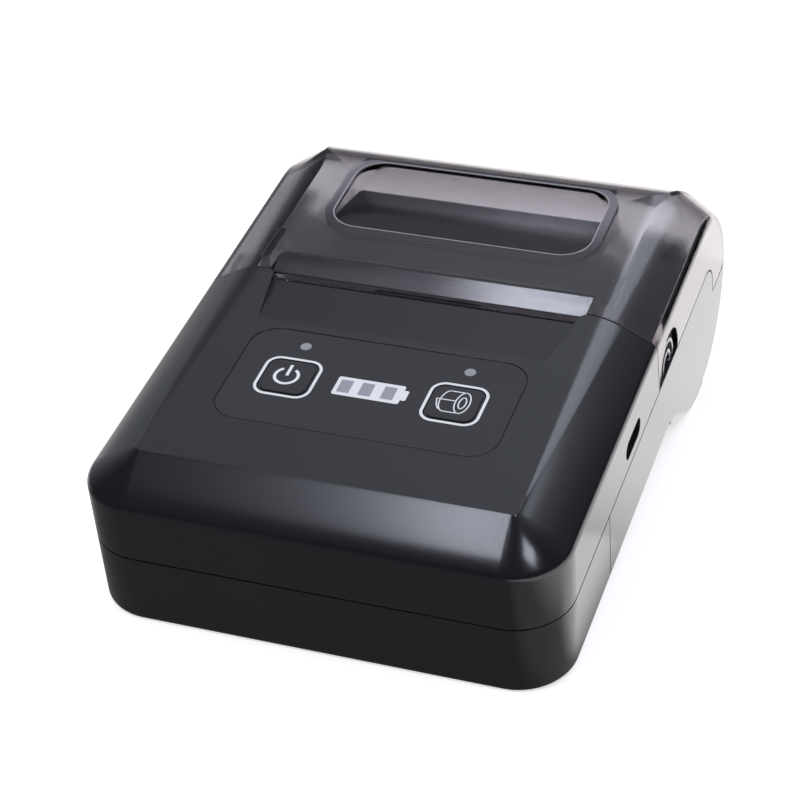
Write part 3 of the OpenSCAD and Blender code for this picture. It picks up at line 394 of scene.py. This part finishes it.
# Natural acetal gears and bushes: milky and waxy
white_acetal = finish_material("white_acetal", "#d8d5ca", "#e4e1d8", 0.35, grain_mm=0.4)
# Ground silicone rubber of the platen: black and quite dull
ground_rubber = finish_material(
    "ground_rubber", "#141415", "#1b1b1d", 0.75, spread=0.06, grain_mm=0.2, relief_mm=0.01
)
# Glazed alumina strip of the print head: cream with a hard shine
alumina = finish_material("alumina", "#d8d3c4", "#e6e2d6", 0.3, grain_mm=0.4)
# Solder mask on the circuit board: dark green and lacquered
solder_mask = finish_material("solder_mask", "#123d22", "#174a2a", 0.35, grain_mm=0.5)
# Moulded epoxy of chips and switches: grey-black and matt
moulded_epoxy = finish_material(
    "moulded_epoxy", "#121214", "#1a1a1c", 0.6, grain_mm=0.2, relief_mm=0.004
)
# Shrink wrap round the battery: a tight, glossy dark blue
shrink_wrap = finish_material(
    "shrink_wrap", "#1c2c5c", "#223468", 0.3, spread=0.06, grain_mm=0.8
)

FINISH = {
    "housing_plastic": satin_abs,
    "lid_smoke": smoky_polycarbonate,
    "label_film": label_film,
    "key_plastic": key_film,
    "clear_plastic": clear_guide,
    "battery_wrap": shrink_wrap,
    "gold_contact": gold_flash,
    "circuit_board": solder_mask,
    "black_component": moulded_epoxy,
    "led_white": clear_guide,
    "plated_steel": nickel_plate,
    "stainless_steel": polished_steel,
    "black_steel": black_steel,
    "frame_plastic": frame_nylon,
    "aluminium": milled_aluminium,
    "alumina": alumina,
    "white_acetal": white_acetal,
    "pinion_brass": hobbed_brass,
    "platen_rubber": ground_rubber,
}


def dress(piece, finish):
    """Gives a piece its one material."""
    piece.data.materials.clear()
    piece.data.materials.append(finish)


for part in frame["record"]["subparts"]:
    dress(frame["nodes"][part["node"]], FINISH[part["material_slot"]])
dress(frame["nodes"]["light_pipes"], frosted_lens)


# Printed symbols, drawn flat at Z = 0 in millimetres and then raised by the ink's thickness.
# Points closer than WELD are one
INK = 0.03
WELD = 0.0005
OVAL_STEPS = 32
LABEL_Z = TOP_Z - 0.05
KEY_Z = TOP_Z + 0.1
KEY_X, KEY_Y = 14.9, 33.0


def keep(name, bm, z, finish, body):
    """Sets a symbol at its height and turns it into a finished piece on a body."""
    bmesh.ops.remove_doubles(bm, verts=bm.verts, dist=WELD)
    bmesh.ops.recalc_face_normals(bm, faces=bm.faces)
    place = LEVEL_TO_ROW @ Matrix.Scale(MM, 4) @ Matrix.Translation((0, 0, z))
    bmesh.ops.transform(bm, matrix=place, verts=bm.verts)
    mesh = bpy.data.meshes.new(name)
    bm.to_mesh(mesh)
    bm.free()
    piece = bpy.data.objects.new(name, mesh)
    scene.collection.objects.link(piece)
    dress(piece, finish)
    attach(piece, body)


def raise_ink(bm, faces, thick=INK):
    """Gives flat faces their thickness."""
    made = bmesh.ops.extrude_face_region(bm, geom=faces)["geom"]
    tops = [v for v in made if isinstance(v, bmesh.types.BMVert)]
    bmesh.ops.translate(bm, vec=(0, 0, thick), verts=tops)


def new_faces(bm, before):
    """The faces that were not there before."""
    return [f for f in bm.faces if f not in before]


def tile(bm, middle, size, corner, segments):
    """A flat rectangle with rounded corners."""
    before = set(bm.faces)
    corners = bmesh.ops.create_grid(bm, x_segments=1, y_segments=1, size=0.5)["verts"]
    bmesh.ops.scale(bm, vec=(*size, 1), verts=corners)
    bmesh.ops.translate(bm, vec=(*middle, 0), verts=corners)
    bmesh.ops.bevel(
        bm, geom=corners, offset=corner, offset_type="OFFSET", affect="VERTICES",
        segments=segments, profile=0.5, material=-1,
    )
    return new_faces(bm, before)


def hollow(bm, faces, line):
    """Leaves only a line of this width along the rim of a flat face."""
    before = set(bm.faces)
    bmesh.ops.inset_region(
        bm, faces=faces, thickness=line, use_boundary=True, use_even_offset=True
    )
    bmesh.ops.delete(bm, geom=faces, context="FACES_ONLY")
    return new_faces(bm, before)


def streak(bm, path, line):
    """A flat line of this width through the points of a path."""
    before = set(bm.faces)
    points = [Vector((*point, 0)) for point in path]
    along = (points[1] - points[0]).normalized()
    side = Vector((-along.y, along.x, 0)) * line / 2
    ends = [bm.verts.new(points[0] + side), bm.verts.new(points[0] - side)]
    edge = bm.edges.new(ends)
    for here, there in zip(points, points[1:]):
        made = bmesh.ops.extrude_edge_only(bm, edges=[edge])["geom"]
        ends = [v for v in made if isinstance(v, bmesh.types.BMVert)]
        bmesh.ops.translate(bm, vec=there - here, verts=ends)
        edge = bm.edges.get(ends)
    return new_faces(bm, before)


def oval(bm, middle, radii, line):
    """A flat oval ring whose line runs on these radii."""
    before = set(bm.faces)
    points = bmesh.ops.create_circle(bm, cap_ends=True, segments=OVAL_STEPS, radius=1)["verts"]
    bmesh.ops.scale(bm, vec=(radii[0] + line / 2, radii[1] + line / 2, 1), verts=points)
    bmesh.ops.translate(bm, vec=(*middle, 0), verts=points)
    return hollow(bm, new_faces(bm, before), line)


# White frames printed on the label round both keys
KEY_FRAME = 9.85
KEY_FRAME_R = 2.3
KEY_FRAME_LINE = 0.52
KEY_FRAME_STEPS = 8


def key_frames():
    bm = bmesh.new()
    size = KEY_FRAME + KEY_FRAME_LINE
    corner = KEY_FRAME_R + KEY_FRAME_LINE / 2
    for x in (-KEY_X, KEY_X):
        whole = tile(bm, (x, KEY_Y), (size, size), corner, KEY_FRAME_STEPS)
        raise_ink(bm, hollow(bm, whole, KEY_FRAME_LINE))
    keep("key_frames", bm, LABEL_Z, white_ink, "housing")


# Power symbol: a ring open at the top, and a bar in the opening
POWER_X, POWER_Y = -15.2, 33.1
POWER_R = 2.05
POWER_LINE = 0.55
POWER_GAP = 64
POWER_STEPS = 40
POWER_BAR = (0.1, 3.0)


def power_symbol():
    bm = bmesh.new()
    start = math.radians(90 + POWER_GAP / 2)
    out = Vector((math.cos(start), math.sin(start), 0))
    middle = Vector((POWER_X, POWER_Y, 0))
    radii = (POWER_R - POWER_LINE / 2, POWER_R + POWER_LINE / 2)
    ends = [bm.verts.new(middle + out * r) for r in radii]
    bmesh.ops.spin(
        bm, geom=[*ends, bm.edges.new(ends)], cent=middle, axis=(0, 0, 1),
        angle=math.radians(360 - POWER_GAP), steps=POWER_STEPS, use_merge=False,
    )
    raise_ink(bm, bm.faces[:])
    bar = [(POWER_X, POWER_Y + y) for y in POWER_BAR]
    raise_ink(bm, streak(bm, bar, POWER_LINE))
    keep("power_symbol", bm, KEY_Z, white_ink, "power_button")


# Paper roll seen from its right end, with the paper's tail to the left
ROLL_X, ROLL_Y = 16.2, 33.3
ROLL_LINE = 0.22
ROLL_END = (1.25, 2.7)
ROLL_CORE = (0.6, 1.45)
ROLL_WIDTH = 2.7
ROLL_TOP = ((0, 2.7), (-2.6, 2.7))
ROLL_BOTTOM = ((0, -2.7), (-2.8, -2.7))
ROLL_TAIL = ((-1.25, 0.3), (-4.6, 0.3))
ROLL_TAIL_END = ((-4.6, 0.3), (-4.2, -1.2), (-3.6, -2.3))


def roll_symbol():
    bm = bmesh.new()

    def at(x, y):
        return ROLL_X + x, ROLL_Y + y

    for radii in (ROLL_END, ROLL_CORE):
        raise_ink(bm, oval(bm, at(0, 0), radii, ROLL_LINE))
    far = at(-ROLL_WIDTH, 0)
    ring = oval(bm, far, ROLL_END, ROLL_LINE)
    parts = {part for face in ring for part in (face, *face.edges, *face.verts)}
    others = set(bm.faces) - set(ring)
    bmesh.ops.bisect_plane(
        bm, geom=list(parts), plane_co=(*far, 0), plane_no=(1, 0, 0), clear_outer=True, dist=1e-4
    )
    raise_ink(bm, new_faces(bm, others))
    for path in (ROLL_TOP, ROLL_BOTTOM, ROLL_TAIL, ROLL_TAIL_END):
        raise_ink(bm, streak(bm, [at(*point) for point in path], ROLL_LINE))
    keep("roll_symbol", bm, KEY_Z, white_ink, "feed_button")


# Battery gauge: a white cell with a nub at its right end, and three grey bars on it. A corner is
# a radius and the steps round it
GAUGE_MIDDLE = (-0.3, 33.0)
GAUGE_SIZE = (12.0, 4.8)
GAUGE_CORNER = (0.4, 4)
NUB_MIDDLE = (6.1, 33.0)
NUB_SIZE = (1.0, 2.6)
NUB_CORNER = (0.3, 4)
NUB_INK = 0.9 * INK
BAR_X = (-4.5, -0.7, 3.3)
BAR_SIZE = (2.2, 3.3)
BAR_CORNER = (0.1, 2)


def battery_gauge():
    bm = bmesh.new()
    raise_ink(bm, tile(bm, GAUGE_MIDDLE, GAUGE_SIZE, *GAUGE_CORNER))
    # The nub is a little thinner, so that no two tops share a plane where they overlap
    raise_ink(bm, tile(bm, NUB_MIDDLE, NUB_SIZE, *NUB_CORNER), NUB_INK)
    keep("gauge_body", bm, LABEL_Z, white_ink, "housing")
    bm = bmesh.new()
    for x in BAR_X:
        raise_ink(bm, tile(bm, (x, GAUGE_MIDDLE[1]), BAR_SIZE, *BAR_CORNER))
    keep("gauge_segments", bm, LABEL_Z + INK / 2, grey_ink, "housing")


key_frames()
power_symbol()
roll_symbol()
battery_gauge()

# White paper sweep. What the gloss sees of it, by place in metres and with its strength there:
# dim in front of the printer, brighter to the rear
AHEAD = (-0.055, 0.02), (0.10, 1.0)
# and dimmer far out to the left
LEFT = (-0.30, -0.10), (0.6, 1.75)
# Just beside the right wall: from the wall outwards, and brighter to the rear
BESIDE = (0.030, 0.044), (0.0, 1.0)
FURTHER = (-0.04, 0.045), (0.46, 1.85)
# Well out to the right
OUTER = (0.042, 0.078), (0.0, 2.0)
# A bright patch beside the right front corner: its front end, its rear end, and outwards
PATCH_FRONT = (-0.056, -0.040), (0.0, 1.6)
PATCH_REAR = (-0.014, -0.004), (1.0, 0.0)
PATCH_SIDE = (0.040, 0.047), (0.0, 1.0)
SWEEP_HALF = 3.0
SWEEP_GLOW = 0.6


def paper_floor():
    """The floor: plain white to the eye, with the printer's shadow, and shaded in the gloss."""
    bm = bmesh.new()
    bmesh.ops.create_grid(bm, x_segments=1, y_segments=1, size=SWEEP_HALF)
    mesh = bpy.data.meshes.new("floor")
    bm.to_mesh(mesh)
    bm.free()
    floor = bpy.data.objects.new("floor", mesh)
    scene.collection.objects.link(floor)
    paper_sweep, tree = blank_material("paper_sweep")
    direct, in_gloss = ray_kinds(tree)
    place = add(tree, "SeparateXYZ", {}, {0: add(tree, "TexCoord").outputs["Object"]}).outputs
    main = combine(tree, "MULTIPLY", ramp(tree, place["Y"], *AHEAD), ramp(tree, place["X"], *LEFT))
    wall = combine(
        tree, "MULTIPLY", ramp(tree, place["X"], *BESIDE), ramp(tree, place["Y"], *FURTHER)
    )
    patch = combine(
        tree, "MULTIPLY", ramp(tree, place["Y"], *PATCH_FRONT),
        ramp(tree, place["Y"], *PATCH_REAR), ramp(tree, place["X"], *PATCH_SIDE)
    )
    mirrored = combine(tree, "MAXIMUM", main, wall, patch, ramp(tree, place["X"], *OUTER))
    card = add(tree, "BsdfDiffuse", {"Color": linear("#f4f4f4")}).outputs[0]
    glow = add(tree, "Emission", {"Color": (1, 1, 1, 1), "Strength": SWEEP_GLOW}).outputs[0]
    lit = add(tree, "AddShader", {}, {0: card, 1: glow}).outputs[0]
    gloss = add(tree, "Emission", {"Color": (1.0, 0.97, 0.975, 1)}, {"Strength": mirrored})
    plain = overlay(tree, direct, card, lit)
    both = overlay(tree, in_gloss, plain, gloss.outputs[0])
    add(tree, "OutputMaterial", {}, {"Surface": both})
    # Its glow is there for the eye and the gloss, so it is no lamp
    paper_sweep.cycles.emission_sampling = "NONE"
    dress(floor, paper_sweep)
    return floor


paper_floor()

# What the gloss sees of the room, by direction: white at the back wall and dark in front, grey
# near the floor, dim to the far right and a little dimmer to the left
BEHIND = (-0.1, 0.6), (0.0, 1.0)
HEIGHT = (0.35, 0.62), (0.2, 0.85)
FAR_RIGHT = (0.25, 0.55), (1.0, 0.2)
SLANT = (-0.40, -0.22), (0.74, 1.1)
# The left end of the back wall, down to the floor
LEFT_END = (-0.72, -0.50), (0.45, 0.0)
DARKEST = 0.05
ROOM_FILL = 0.46


def studio_world():
    """The room: white to the eye, an even fill on the printer, and shaded in the gloss."""
    world = bpy.data.worlds.new("studio")
    world.use_nodes = True
    world.cycles.sampling_method = "NONE"
    tree = world.node_tree
    tree.nodes.clear()
    direct, in_gloss = ray_kinds(tree)
    toward = add(tree, "SeparateXYZ", {}, {0: add(tree, "TexCoord").outputs["Generated"]}).outputs
    behind = ramp(tree, toward["Y"], *BEHIND)
    wall = combine(
        tree, "MULTIPLY", behind, ramp(tree, toward["Z"], *HEIGHT),
        ramp(tree, toward["X"], *FAR_RIGHT), ramp(tree, toward["X"], *SLANT)
    )
    left = combine(tree, "MULTIPLY", ramp(tree, toward["X"], *LEFT_END), behind)
    mirrored = combine(tree, "MAXIMUM", wall, left, DARKEST)
    fill = add(tree, "Background", {"Color": (0.96, 0.98, 1, 1), "Strength": ROOM_FILL})
    gloss = add(tree, "Background", {"Color": (0.84, 0.89, 1, 1)}, {"Strength": mirrored})
    white = add(tree, "Background", {"Color": (1, 1, 1, 1), "Strength": 1.0})
    dim = overlay(tree, in_gloss, fill.outputs[0], gloss.outputs[0])
    both = overlay(tree, direct, dim, white.outputs[0])
    add(tree, "OutputWorld", {}, {"Surface": both})
    return world


scene.world = studio_world()

# Lamps, in millimetres of the level drawing
AIM = (0, 40, 25)
LAMP_COLOUR = (0.83, 0.86, 1.0)
# One overhead panel that grows brighter to the right: the ends of its strips and their radiance
PANEL_Z = 875
PANEL_Y, PANEL_LENGTH = 80, 740
PANEL = ((-400, -330, 0.3), (-330, -280, 0.7), (-280, -228, 1.9), (-228, -165, 15.0))


def softbox(name, middle, size, radiance, down=True):
    """Rectangular lamp that faces the table or, where down is false, the printer."""
    lamp = bpy.data.lights.new(name, "AREA")
    lamp.shape = "RECTANGLE"
    lamp.size, lamp.size_y = size[0] * MM, size[1] * MM
    lamp.energy = radiance * math.pi * lamp.size * lamp.size_y
    lamp.color = LAMP_COLOUR
    back = Vector((0, 0, 1)) if down else (Vector(middle) - Vector(AIM)).normalized()
    back = LEVEL_TO_ROW.to_3x3() @ back
    across = (Vector((1, 0, 0)) - back * back.x).normalized()
    turn = Matrix((across, back.cross(across), back)).transposed().to_4x4()
    holder = bpy.data.objects.new(name, lamp)
    holder.matrix_world = Matrix.Translation(row(middle)) @ turn
    scene.collection.objects.link(holder)


for low, high, radiance in PANEL:
    middle = ((low + high) / 2, PANEL_Y, PANEL_Z)
    softbox(f"panel_{-low}", middle, (high - low, PANEL_LENGTH), radiance)
# Streak down the right front corner
softbox("corner_softbox", (365, -40, PANEL_Z), (200, 210), 11.0)
# Band along the right crease, and its soft edge
softbox("rear_strip", (150, 740, 640), (110, 330), 3.0, down=False)
softbox("rear_fill", (270, 740, 600), (130, 330), 2.4, down=False)

# Camera of the photo, solved from the printer's edges in the level drawing. The turn's rows are
# right, down and forward
CAMERA_TURN = Vector((2.2386384, 0.3360645, -0.2581131))
EYE = (120.7584, -247.9279, 275.1718)
FOCAL_PIXELS = 2329.2021
PHOTO_PIXELS = 800
SENSOR = 36.0


def photo_camera():
    """The camera at the photo's place, with its lens."""
    camera = bpy.data.objects.new("camera", bpy.data.cameras.new("camera"))
    camera.data.sensor_width = SENSOR
    camera.data.lens = FOCAL_PIXELS / PHOTO_PIXELS * SENSOR
    camera.data.clip_start, camera.data.clip_end = 0.01, 20
    turn = Matrix.Rotation(CAMERA_TURN.length, 3, CAMERA_TURN.normalized())
    right, down, forward = (turn[i] for i in range(3))
    level_pose = Matrix((right, -down, -forward)).transposed().to_4x4()
    level_pose.translation = Vector(EYE) * MM
    camera.matrix_world = LEVEL_TO_ROW @ level_pose
    scene.collection.objects.link(camera)
    return camera


scene.camera = photo_camera()
scene.view_settings.view_transform = "Standard"
